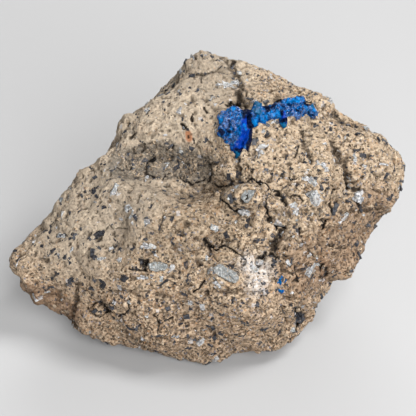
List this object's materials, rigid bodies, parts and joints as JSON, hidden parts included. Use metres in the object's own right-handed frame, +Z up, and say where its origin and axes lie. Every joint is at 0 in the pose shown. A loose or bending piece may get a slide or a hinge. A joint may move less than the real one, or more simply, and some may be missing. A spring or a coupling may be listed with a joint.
{
  "type": "hauyne on matrix mineral specimen",
  "caption": "Loose lump of rough pale pumice tuff with a bright blue hauyne crystal and a seam of blue crystals set in a pocket near its crown, resting on a flat under the lump.",
  "frame": {"origin": "middle of the specimen's box, at the level of the flat that it rests on", "axes": "+X along the specimen's length to the right as it is shown, +Y away from the show face, +Z up through the crown"},
  "size_m": [0.0596, 0.0432, 0.0387],
  "materials": {
    "tuff": "rough, dry and granular, pale tan with dark and white grains",
    "hauyne": "glassy deep blue, frosted lighter blue on broken faces",
    "sanidine": "glassy grey to white, slightly greenish",
    "augite": "black, bright on the crystal faces"
  },
  "bodies": {
    "root": {"matrix": "tuff", "hauyne_main_crystal": "hauyne", "hauyne_seam": "hauyne", "sanidine_front": "sanidine", "sanidine_lath": "sanidine", "sanidine_block": "sanidine", "augite_left": "augite"}
  },
  "joints": []
}
